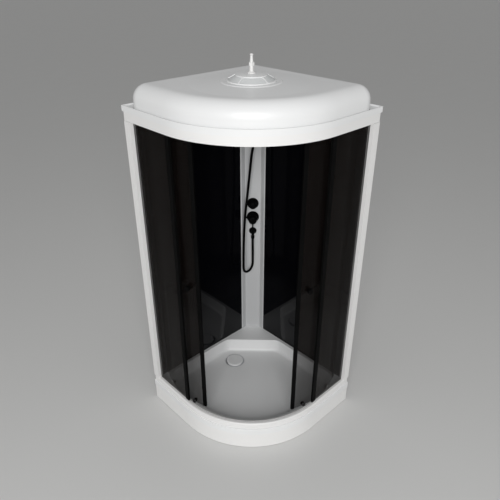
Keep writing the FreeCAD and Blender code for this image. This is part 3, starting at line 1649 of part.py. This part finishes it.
def make_door(side, hand):
    whole_arc = front_arc + rear_arc
    middle_arc = (front_arc - rear_arc) / 2
    blank = curved(side + "_door_glass_blank", glass_in, glass_out, s.door_bottom, door_top, whole_arc)
    blank.Placement = at_arc(hand, middle_arc)
    knob_arc = front_arc - s.knob_back / glass_mid * degrees
    spots = [(knob_arc, s.knob_level)]
    for arc in (spread, -spread):
        spots.append((arc, top_axle - s.clamp_drop))
        spots.append((arc, bottom_axle))
    outward = Rotation(Vector(0, 1, 0), 90)
    holes = []
    for number, (arc, level) in enumerate(spots, 1):
        start = Placement(Vector(float(glass_in - s.overrun), 0, 0), outward)
        holes.append(drum("%s_glass_hole_%d" % (side, number), s.glass_hole_radius,
                          s.glass_wall + s.overrun * 2, at_arc(hand, arc, level).multiply(start)))
    keep(boolean(side + "_door_glass", "Cut", blank, fused(side + "_glass_holes", holes)))
    for part, wide, reach, skin in (
            ("front_seal", s.front_seal_width, s.front_seal_reach, s.seal_wall),
            ("rear_seal", s.rear_seal_width, s.rear_seal_reach, s.rear_seal_wall)):
        ahead = part == "front_seal"
        edge_arc = front_arc if ahead else -rear_arc
        way = 1 if ahead else -1
        seal = curved("%s_%s_blank" % (side, part), glass_in - skin, glass_out + skin,
                      s.door_bottom, door_top, wide / glass_mid * degrees)
        seal.Placement = at_arc(hand, edge_arc + way * (reach - wide / 2) / glass_mid * degrees)
        slot = curved("%s_%s_slot" % (side, part), glass_in - s.seat_gap / 3, glass_out + s.seat_gap / 3,
                      s.door_bottom - s.overrun, door_top + s.overrun, wide / glass_mid * degrees)
        slot_middle = edge_arc + way * (s.seat_gap - wide / 2) / glass_mid * degrees
        slot.Placement = at_arc(hand, slot_middle)
        keep(boolean("%s_door_%s" % (side, part), "Cut", seal, slot))
    neck = s.glass_hole_radius - s.seat_gap
    keep(radial(side + "_door_knob", [
        (glass_in - s.knob_inner_reach, 0),
        (glass_in - s.knob_inner_reach, s.knob_radius * 0.8),
        (glass_in - s.knob_inner_reach * 0.9, s.knob_radius * 0.95),
        (glass_in - s.knob_inner_reach * 0.5, s.knob_radius),
        (glass_in - s.knob_inner_reach * 0.4, s.knob_neck_radius),
        (glass_in - s.seat_gap, s.knob_neck_radius * 1.3),
        (glass_in - s.seat_gap, neck),
        (glass_out + s.seat_gap, neck),
        (glass_out + s.seat_gap, s.knob_neck_radius * 1.3),
        (glass_out + s.knob_reach * 0.4, s.knob_neck_radius),
        (glass_out + s.knob_reach * 0.5, s.knob_radius),
        (glass_out + s.knob_reach * 0.9, s.knob_radius * 0.95),
        (glass_out + s.knob_reach, s.knob_radius * 0.8),
        (glass_out + s.knob_reach, 0),
    ], at_arc(hand, knob_arc, s.knob_level)))
    carriers = []
    for spot, arc in (("front", spread), ("rear", -spread)):
        carriers.append(make_hanger("%s_hanger_%s" % (side, spot), at_arc(hand, arc, top_axle)))
        carriers.append(make_lower_carrier("%s_lower_%s" % (side, spot), at_arc(hand, arc, bottom_axle)))
        keep(make_wheel("%s_top_wheel_%s" % (side, spot), top_wheel_line, s.top_wheel_radius,
                        s.top_wheel_width, at_arc(hand, arc, top_axle)))
        keep(make_wheel("%s_bottom_wheel_%s" % (side, spot), bottom_wheel_line, s.bottom_wheel_radius,
                        s.bottom_wheel_width, at_arc(hand, arc, bottom_axle)))
    keep(grouped(side + "_door_carriers", carriers))


make_door("left", 1)
make_door("right", -1)

doc.recompute()
faults = [thing.Label for thing in doc.Objects
          if "Invalid" in thing.State or "Error" in thing.State]
for piece in pieces:
    if piece.Shape.isNull() or not piece.Shape.isValid():
        faults.append(piece.Label + " shape")
if faults:
    raise RuntimeError("failed: " + ", ".join(faults))
os.makedirs("parts", exist_ok=True)
for piece in pieces:
    piece.Shape.exportStep("parts/%s.step" % piece.Label)
print(len(pieces), "pieces")
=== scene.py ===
import math

import bmesh
import bpy
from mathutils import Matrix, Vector


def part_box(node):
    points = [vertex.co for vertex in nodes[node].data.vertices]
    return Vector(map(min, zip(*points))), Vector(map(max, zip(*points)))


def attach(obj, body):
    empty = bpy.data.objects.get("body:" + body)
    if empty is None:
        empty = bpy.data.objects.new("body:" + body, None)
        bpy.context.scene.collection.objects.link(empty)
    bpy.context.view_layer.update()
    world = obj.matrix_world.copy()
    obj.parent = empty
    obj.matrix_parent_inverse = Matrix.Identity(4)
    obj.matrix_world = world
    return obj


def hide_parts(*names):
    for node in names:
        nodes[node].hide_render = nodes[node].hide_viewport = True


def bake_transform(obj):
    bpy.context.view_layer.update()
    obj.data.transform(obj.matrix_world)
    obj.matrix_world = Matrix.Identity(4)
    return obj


# Quarter-round shower cabin, in metres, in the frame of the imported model.
# The room's corner is at +X +Y, and the round front faces -X -Y.
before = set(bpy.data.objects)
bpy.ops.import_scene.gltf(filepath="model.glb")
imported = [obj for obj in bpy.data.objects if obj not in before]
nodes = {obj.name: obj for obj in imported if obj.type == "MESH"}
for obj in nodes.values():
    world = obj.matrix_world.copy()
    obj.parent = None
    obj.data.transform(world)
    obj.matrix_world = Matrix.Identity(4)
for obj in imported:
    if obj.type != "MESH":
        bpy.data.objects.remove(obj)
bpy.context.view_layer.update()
scene = bpy.context.scene

UP = Vector((0, 0, 1))
ACROSS = Vector((1, -1, 0)).normalized()  # across the column's face, to the photo's right


# Materials

TONE_SIZE = 0.35
SHEEN_SIZE = 0.06
MARK_SIZE = 0.0015


def grey(value):
    return (value, value, value)


def shader(name, colour, roughness, metallic=0.0, specular=0.5, coat=0.0, alpha=1.0):
    """A principled material, with its shader and its node tree."""
    material = bpy.data.materials.new(name)
    material.use_nodes = True
    tree = material.node_tree
    bsdf = tree.nodes["Principled BSDF"]
    bsdf.inputs["Base Color"].default_value = (*colour, 1)
    bsdf.inputs["Roughness"].default_value = roughness
    bsdf.inputs["Metallic"].default_value = metallic
    bsdf.inputs["Specular IOR Level"].default_value = specular
    bsdf.inputs["Coat Weight"].default_value = coat
    bsdf.inputs["Alpha"].default_value = alpha
    return material, bsdf, tree


def noise(tree, size, detail=3.0, stretch=(1, 1, 1)):
    """Noise in the part's own coordinates, with features of about the given size in metres."""
    coordinates = tree.nodes.new("ShaderNodeTexCoord")
    mapping = tree.nodes.new("ShaderNodeMapping")
    mapping.inputs["Scale"].default_value = stretch
    texture = tree.nodes.new("ShaderNodeTexNoise")
    texture.inputs["Scale"].default_value = 1 / size
    texture.inputs["Detail"].default_value = detail
    tree.links.new(coordinates.outputs["Object"], mapping.inputs["Vector"])
    tree.links.new(mapping.outputs["Vector"], texture.inputs["Vector"])
    return texture.outputs["Fac"]


def add_bump(tree, bsdf, height, distance):
    bump = tree.nodes.new("ShaderNodeBump")
    bump.inputs["Distance"].default_value = distance
    bump.inputs["Strength"].default_value = 1.0
    tree.links.new(height, bump.inputs["Height"])
    tree.links.new(bump.outputs["Normal"], bsdf.inputs["Normal"])


def vary_roughness(tree, bsdf, pattern, low, high):
    spread = tree.nodes.new("ShaderNodeMapRange")
    spread.interpolation_type = "SMOOTHSTEP"
    spread.inputs["From Min"].default_value = 0.1
    spread.inputs["From Max"].default_value = 0.9
    spread.inputs["To Min"].default_value = low
    spread.inputs["To Max"].default_value = high
    tree.links.new(pattern, spread.inputs["Value"])
    tree.links.new(spread.outputs["Result"], bsdf.inputs["Roughness"])


def vary_colour(tree, bsdf, pattern, first, second):
    ramp = tree.nodes.new("ShaderNodeValToRGB")
    ramp.color_ramp.elements[0].position = 0.35
    ramp.color_ramp.elements[1].position = 0.65
    ramp.color_ramp.elements[0].color = (*first, 1)
    ramp.color_ramp.elements[1].color = (*second, 1)
    tree.links.new(pattern, ramp.inputs["Fac"])
    tree.links.new(ramp.outputs["Color"], bsdf.inputs["Base Color"])


def moulded(name, first, second, roughness, grain, depth, specular=0.5, coat=0.0):
    """A moulded or coated surface: broad tone changes over a fine grain."""
    material, bsdf, tree = shader(name, first, roughness, specular=specular, coat=coat)
    vary_colour(tree, bsdf, noise(tree, TONE_SIZE), first, second)
    vary_roughness(tree, bsdf, noise(tree, SHEEN_SIZE), roughness * 0.85, roughness * 1.2)
    add_bump(tree, bsdf, noise(tree, grain), depth)
    return material


def metal(name, colour, roughness, stretch, depth=0.00002):
    """A metal with fine drawing or turning marks along the stretched way."""
    material, bsdf, tree = shader(name, colour, roughness, metallic=1.0)
    marks = noise(tree, MARK_SIZE, 2.0, stretch)
    vary_roughness(tree, bsdf, marks, roughness * 0.8, roughness * 1.3)
    add_bump(tree, bsdf, marks, depth)
    return material


BLACK = grey(0.0015)
WORN_BLACK = grey(0.003)

white_acrylic = moulded("white_acrylic", (0.84, 0.845, 0.845), (0.815, 0.82, 0.82),
                        0.36, 0.04, 0.00003, coat=0.1)
white_profile = moulded("white_profile", (0.835, 0.83, 0.82), (0.82, 0.815, 0.805),
                        0.38, 0.0012, 0.00001)
column_white = moulded("column_white", (0.56, 0.565, 0.57), (0.53, 0.535, 0.54),
                       0.4, 0.0015, 0.00003)
black_seal = moulded("black_seal", BLACK, WORN_BLACK, 0.6, 0.001, 0.00002, specular=0.04)
black_paint = moulded("black_paint", BLACK, WORN_BLACK, 0.45, 0.0008, 0.00002, specular=0.03)
black_plastic = moulded("black_plastic", grey(0.015), grey(0.02), 0.55, 0.0012, 0.00005)
black_hose = moulded("black_hose", BLACK, WORN_BLACK, 0.45, 0.0008, 0.00002, specular=0.03)
rubber = moulded("rubber", grey(0.22), grey(0.26), 0.6, 0.0008, 0.00002)
# Painted shade: a near-black grey for the thin bead that stands in for the contact shadow round
# the dome's foot.
painted_shade_grey = moulded("painted_shade_grey", grey(0.07), grey(0.09), 0.5, 0.004, 0.00002)
nylon = moulded("nylon", (0.62, 0.62, 0.61), (0.57, 0.57, 0.56), 0.4, 0.001, 0.00002)
zinc = metal("zinc", (0.62, 0.63, 0.65), 0.4, (1, 1, 0.1))
brass = metal("brass", (0.70, 0.52, 0.25), 0.4, (1, 1, 1), 0.00008)


def make_tinted_glass():
    """Dark grey toughened glass, which darkens what lies behind it, with faint water marks."""
    material, bsdf, tree = shader("tinted_glass", (0.008, 0.006, 0.005), 0.03,
                                  specular=0.1, alpha=0.36)
    vary_roughness(tree, bsdf, noise(tree, 0.05, 5.0, (1, 1, 0.3)), 0.02, 0.06)
    return material


def make_black_glass():
    """Black backed glass, nearly flat, with the slight roller wave of toughened sheet."""
    material, bsdf, tree = shader("black_glass", (0.002, 0.002, 0.003), 0.05, specular=0.3)
    vary_roughness(tree, bsdf, noise(tree, 0.08, 4.0), 0.03, 0.07)
    add_bump(tree, bsdf, noise(tree, 0.25, 1.0, (1, 1, 0.5)), 0.0002)
    return material


def make_frosted():
    """Frosted plastic of the panels in the roof dish."""
    material, bsdf, tree = shader("frosted", (0.66, 0.675, 0.675), 0.36)
    bsdf.inputs["Subsurface Weight"].default_value = 0.2
    bsdf.inputs["Subsurface Radius"].default_value = grey(0.004)
    add_bump(tree, bsdf, noise(tree, 0.002), 0.0001)
    return material


tinted_glass = make_tinted_glass()
black_glass = make_black_glass()
frosted = make_frosted()

LOOKS = {
    white_acrylic: ["tray", "roof", "drain_cover", "dish_frame", "dish_cap"],
    white_profile: ["apron", "bottom_rail", "top_rail", "left_wall_profile",
                    "right_wall_profile", "inlet_stem", "inlet_nut", "inlet_barb"],
    column_white: ["corner_column"],
    tinted_glass: ["left_fixed_glass", "right_fixed_glass", "left_door_glass",
                   "right_door_glass"],
    black_glass: ["left_back_panel", "right_back_panel"],
    black_seal: ["left_edge_seal", "right_edge_seal", "left_door_front_seal",
                 "right_door_front_seal", "left_door_rear_seal", "right_door_rear_seal"],
    black_paint: ["mixer_plate", "diverter_plate", "mixer_collar", "mixer_lever",
                  "diverter_knob", "hose_outlet", "outlet_nut", "handset_nut", "hand_shower",
                  "hand_shower_holder", "left_door_knob", "right_door_knob",
                  "left_door_carriers", "right_door_carriers"],
    black_plastic: ["foot_pads", "drain_trap", "rain_head", "left_bottom_wheel_front",
                    "right_bottom_wheel_front"],
    zinc: ["frame_tube_back", "frame_tube_side", "frame_tube_front", "apron_brackets",
           "foot_studs", "drain_flange"],
    brass: ["mixer_body"],
    frosted: ["dish_panel"],
    nylon: [name for name in nodes if "_wheel_" in name and "bottom_wheel_front" not in name],
}
for look, names in LOOKS.items():
    for name in names:
        nodes[name].data.materials.clear()
        nodes[name].data.materials.append(look)


# Hose: the part's own route, as the way across the column's face, out of it, and the height

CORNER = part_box("tray")[1].x
FACE_DEPTH = 0.060  # from the cabin's corner to the column's face
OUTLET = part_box("outlet_nut")[0].z
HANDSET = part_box("handset_nut")[0].z
HOSE_DIAMETER = 0.016
HOSE_ROUTE = [
    (0, 0.034, OUTLET),
    (0, 0.034, 0.864),
    (0.0006, 0.0295, 0.806),
    (0.0004, 0.022, 0.752),
    (0, 0.018, 0.700),
    (-0.017, 0.0400, 0.670),
    (-0.044, 0.0750, 0.6735),
    (-0.061, 0.0974, 0.7035),
    (-0.0609, 0.0964, 0.756),
    (-0.0604, 0.0925, 0.840),
    (-0.058, 0.087, 0.930),
    (-0.0545, 0.0815, 1.020),
    (-0.0485, 0.077, 1.115),
    (-0.038, 0.0735, 1.210),
    (-0.027, 0.071, 1.320),
    (-0.016, 0.0698, 1.430),
    (-0.0065, 0.070, 1.530),
    (0.004, 0.072, 1.574),
    (0.004, 0.072, HANDSET),
]


def face_point(across, out, height):
    """A point given from the middle of the column's face."""
    depth = FACE_DEPTH + out
    return Vector((CORNER + (across - depth) / math.sqrt(2),
                   CORNER - (across + depth) / math.sqrt(2), height))


def route_curve(name, points):
    """A smooth open curve along the points, with no thickness yet."""
    data = bpy.data.curves.new(name, "CURVE")
    data.dimensions = "3D"
    data.resolution_u = 8
    data.bevel_depth = 0
    data.bevel_resolution = 5
    data.use_fill_caps = True
    spline = data.splines.new("NURBS")
    spline.points.add(len(points) - 1)
    for target, point in zip(spline.points, points):
        target.co = (*point, 1)
    spline.order_u = 3
    spline.use_endpoint_u = True
    curve = bpy.data.objects.new(name, data)
    scene.collection.objects.link(curve)
    return curve


def mesh_of(curve, name):
    """The curve as it stands now, as a mesh object."""
    bpy.context.view_layer.update()
    evaluated = curve.evaluated_get(bpy.context.evaluated_depsgraph_get())
    piece = bpy.data.objects.new(name, bpy.data.meshes.new_from_object(evaluated))
    scene.collection.objects.link(piece)
    return piece


def make_hose():
    points = [face_point(*point) for point in HOSE_ROUTE]
    line = route_curve("hose_line", points)
    bare = mesh_of(line, "hose_path")
    line.data.bevel_depth = HOSE_DIAMETER / 2
    hose = mesh_of(line, "hose")
    for spare in (line, bare):
        bpy.data.objects.remove(spare)
    hose.data.shade_smooth()
    hose.data.materials.clear()
    hose.data.materials.append(black_hose)
    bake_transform(hose)
    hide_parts("shower_hose")


make_hose()


# Small details on the solids

def add_ring(made, middle, first_way, second_way, radius, sides):
    """A ring of points round the middle, in the plane of the two ways."""
    turns = [math.tau * k / sides for k in range(sides)]
    return [made.verts.new(middle + (first_way * math.cos(turn)
                                     + second_way * math.sin(turn)) * radius)
            for turn in turns]


def join_rings(made, rings):
    """Faces between each ring and the next one."""
    for low, high in zip(rings, rings[1:]):
        for k in range(len(low)):
            following = (k + 1) % len(low)
            made.faces.new((low[k], low[following], high[following], high[k]))


def close_ends(made, rings):
    made.faces.new(rings[0][::-1])
    made.faces.new(rings[-1])


def piece_of(made, name, look):
    data = bpy.data.meshes.new(name)
    made.to_mesh(data)
    made.free()
    data.materials.append(look)
    piece = bpy.data.objects.new(name, data)
    scene.collection.objects.link(piece)
    return piece


# A nozzle as shares of its radius, and heights over the spray face: a low cone with a bore
NOZZLE_PROFILE = [(1, -0.0005), (1, 0.0006), (0.62, 0.0018), (0.32, 0.0018), (0.3, 0.0009)]
NOZZLE_SIDES = 10


def make_nozzles(name, middle, across, up, reach, pitch, radius, body):
    """Rubber nozzles in rings on a spray face that looks along across x up."""
    facing = across.cross(up)
    made = bmesh.new()
    for ring in range(int(reach / pitch) + 1):
        count = max(1, 6 * ring)
        for step in range(count):
            turn = math.tau * step / count
            place = middle + (across * math.cos(turn) + up * math.sin(turn)) * ring * pitch
            rings = [add_ring(made, place + facing * height, across, up, radius * share,
                              NOZZLE_SIDES) for share, height in NOZZLE_PROFILE]
            join_rings(made, rings)
            close_ends(made, rings)
    piece = piece_of(made, name, rubber)
    piece.data.shade_smooth()
    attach(piece, body)


HEAD_FACE_OUT = 0.087
HEAD_FACE_RISE = 0.190
spray_face = face_point(0.004, HEAD_FACE_OUT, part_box("hand_shower")[0].z + HEAD_FACE_RISE)
rain_face = Vector((0, 0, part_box("rain_head")[0].z))
make_nozzles("hand_shower_nozzles", spray_face, -ACROSS, UP, 0.034, 0.0068, 0.0016,
             "hand_shower_body")
make_nozzles("rain_head_nozzles", rain_face, Vector((0, 1, 0)), Vector((1, 0, 0)),
             0.084, 0.012, 0.0024, "cabin")

# A cap as shares of its radius and of its height: it widens, then closes in a dome
CAP_PROFILE = [(0.72, 0), (0.94, 0.25), (1, 0.5), (0.97, 0.74), (0.84, 0.9), (0.55, 0.98),
               (0.2, 1)]
CAP_SIDES = 40


def make_cap(name, plate, foot, reach, radius, body):
    """A round cap on a control, in line with its plate, from foot to reach out of the column."""
    low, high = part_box(plate)
    level = (low.z + high.z) / 2
    made = bmesh.new()
    rings = [add_ring(made, face_point(0, foot + (reach - foot) * rise, level), ACROSS, UP,
                      radius * share, CAP_SIDES) for share, rise in CAP_PROFILE]
    join_rings(made, rings)
    close_ends(made, rings)
    bmesh.ops.recalc_face_normals(made, faces=made.faces)
    piece = piece_of(made, name, black_paint)
    piece.data.shade_smooth()
    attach(piece, body)


make_cap("mixer_lever_cap", "mixer_plate", 0.0552, 0.068, 0.0265, "mixer_lever_body")
make_cap("diverter_cap", "diverter_plate", 0.034, 0.050, 0.0235, "diverter_body")

DISH_RING_WIDTH = 0.007
DISH_RING_HEIGHT = 0.006
DISH_SIDES = 96
HUB_OUT = 0.077
HUB_IN = 0.0721
HUB_HEIGHT = 0.0054
SPOKES = 5
SPOKE_WIDTH = 0.0064
SPOKE_HEIGHT = 0.0044
SPOKE_SINK = 0.0014
FRONT_BAY = math.radians(231)  # the middle of the bay that faces front, from +X towards +Y


def make_dish_frame():
    """The dish's foot ring, hub ring and sloping spokes, with a bay towards the front."""
    low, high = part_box("dish_frame")
    ring_out = high.x
    ring_in = ring_out - DISH_RING_WIDTH
    foot_profile = [(ring_in, low.z), (ring_out, low.z), (ring_out, low.z + 0.0036),
                    (ring_out - 0.002, low.z + 0.0052), (ring_in, low.z + DISH_RING_HEIGHT)]
    hub_profile = [(HUB_IN, high.z - HUB_HEIGHT), (HUB_OUT, high.z - HUB_HEIGHT),
                   (HUB_OUT, high.z - 0.0008), (HUB_OUT - 0.0012, high.z), (HUB_IN, high.z)]
    made = bmesh.new()
    for profile in (foot_profile, hub_profile):
        rings = [add_ring(made, UP * level, Vector((1, 0, 0)), Vector((0, 1, 0)), radius,
                          DISH_SIDES) for radius, level in profile]
        join_rings(made, rings + rings[:1])
    foot = ring_in + DISH_RING_WIDTH / 2
    head = HUB_OUT - SPOKE_SINK
    corners = [(foot, low.z + 0.0024), (foot, low.z + 0.0058), (head, high.z),
               (head, high.z - SPOKE_HEIGHT)]
    for spoke in range(SPOKES):
        angle = FRONT_BAY + math.tau * (spoke + 0.5) / SPOKES
        out_way = Vector((math.cos(angle), math.sin(angle), 0))
        side_way = Vector((-out_way.y, out_way.x, 0))
        ends = [[made.verts.new(out_way * radius + side_way * aside + UP * level)
                 for radius, level in corners] for aside in (-SPOKE_WIDTH / 2, SPOKE_WIDTH / 2)]
        join_rings(made, ends)
        close_ends(made, ends)
    bmesh.ops.recalc_face_normals(made, faces=made.faces)
    piece = piece_of(made, "dish_frame_five", white_acrylic)
    soften = piece.modifiers.new("soften", "BEVEL")
    soften.width = 0.0005
    soften.segments = 2
    soften.limit_method = "ANGLE"
    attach(piece, "cabin")
    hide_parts("dish_frame")


make_dish_frame()

HALF = 0.450
FRONT_RADIUS = 0.550
ARC_MIDDLE = -HALF + FRONT_RADIUS
QUARTER = math.pi / 2
ARC_STEPS = 40
CORNER_STEPS = 10
DOME_INSET = 0.010
DOME_WALL_INSET = 0.042
DOME_CORNER_ROUND = 0.080
DOME_RISE = 0.125  # from the dome's foot to the top of the roof
BEAD_RADIUS = 0.0016
BEAD_SIDES = 8


def dome_outline():
    """The dome's quarter-round foot in plan, closed, with its three corners rounded."""
    front = FRONT_RADIUS - DOME_INSET
    edge = HALF - DOME_INSET
    back = HALF - DOME_WALL_INSET
    turns = [math.pi + QUARTER * k / ARC_STEPS for k in range(ARC_STEPS + 1)]
    points = [Vector((ARC_MIDDLE + front * math.cos(turn), ARC_MIDDLE + front * math.sin(turn)))
              for turn in turns]
    for x, y, start in ((back, -edge, -QUARTER), (back, back, 0), (-edge, back, QUARTER)):
        middle = Vector((x - math.copysign(DOME_CORNER_ROUND, x),
                         y - math.copysign(DOME_CORNER_ROUND, y)))
        turns = [start + QUARTER * k / CORNER_STEPS for k in range(CORNER_STEPS + 1)]
        points += [middle + DOME_CORNER_ROUND * Vector((math.cos(turn), math.sin(turn)))
                   for turn in turns]
    return points


def make_painted_shade_bead():
    """A thin dark bead round the dome's foot: painted shade, standing in for the contact shadow
    where the dome meets the roof's lip.
    """
    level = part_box("roof")[1].z - DOME_RISE
    outline = dome_outline()
    made = bmesh.new()
    rings = []
    for k, point in enumerate(outline):
        ahead = outline[(k + 1) % len(outline)] - outline[k - 1]
        outward = Vector((ahead.y, -ahead.x, 0)).normalized()
        rings.append(add_ring(made, Vector((*point, level)), outward, UP, BEAD_RADIUS,
                              BEAD_SIDES))
    join_rings(made, rings + rings[:1])
    bmesh.ops.recalc_face_normals(made, faces=made.faces)
    piece = piece_of(made, "dome_foot_painted_shade", painted_shade_grey)
    piece.data.shade_smooth()
    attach(piece, "cabin")


make_painted_shade_bead()


# Studio

FLOOR_EXTENT = 90


def make_floor():
    material, bsdf, tree = shader("floor", (0.68, 0.68, 0.67), 0.55)
    vary_roughness(tree, bsdf, noise(tree, 0.4), 0.5, 0.6)
    corners = [(x * FLOOR_EXTENT, y * FLOOR_EXTENT, 0)
               for x, y in ((-1, -1), (1, -1), (1, 1), (-1, 1))]
    data = bpy.data.meshes.new("floor")
    data.from_pydata(corners, [], [(0, 1, 2, 3)])
    data.materials.append(material)
    floor = bpy.data.objects.new("floor", data)
    scene.collection.objects.link(floor)


def make_light(name, place, target, size, power):
    """A soft square light that faces its target."""
    data = bpy.data.lights.new(name, "AREA")
    data.shape = "SQUARE"
    data.size = size
    data.energy = power
    light = bpy.data.objects.new(name, data)
    light.location = place
    way = Vector(target) - Vector(place)
    light.rotation_euler = way.to_track_quat("-Z", "Y").to_euler()
    scene.collection.objects.link(light)


make_floor()
make_light("key", (-3.85, -3.85, 3.2), (0, 0, 1.0), 3.0, 225)
make_light("top", (0.3, 0.3, 4.6), (0, 0, 2), 3.0, 6)

world = bpy.data.worlds.new("studio")
world.use_nodes = True
world.node_tree.nodes["Background"].inputs["Color"].default_value = (*grey(0.8), 1)
world.node_tree.nodes["Background"].inputs["Strength"].default_value = 0.42
scene.world = world
scene.view_settings.view_transform = "Standard"

# The photograph's camera: its place, its turn from +Y towards +X, and its tilt down
CAMERA_PLACE = (-1.7464, -1.8106, 2.5481)
CAMERA_TURN = 0.7646
CAMERA_TILT = 0.5126
CAMERA_LENS = 36.955
SENSOR_WIDTH = 36

camera_data = bpy.data.cameras.new("camera")
camera_data.lens = CAMERA_LENS
camera_data.sensor_width = SENSOR_WIDTH
camera = bpy.data.objects.new("camera", camera_data)
camera.location = CAMERA_PLACE
camera.rotation_euler = (math.pi / 2 - CAMERA_TILT, 0, -CAMERA_TURN)
scene.collection.objects.link(camera)
scene.camera = camera
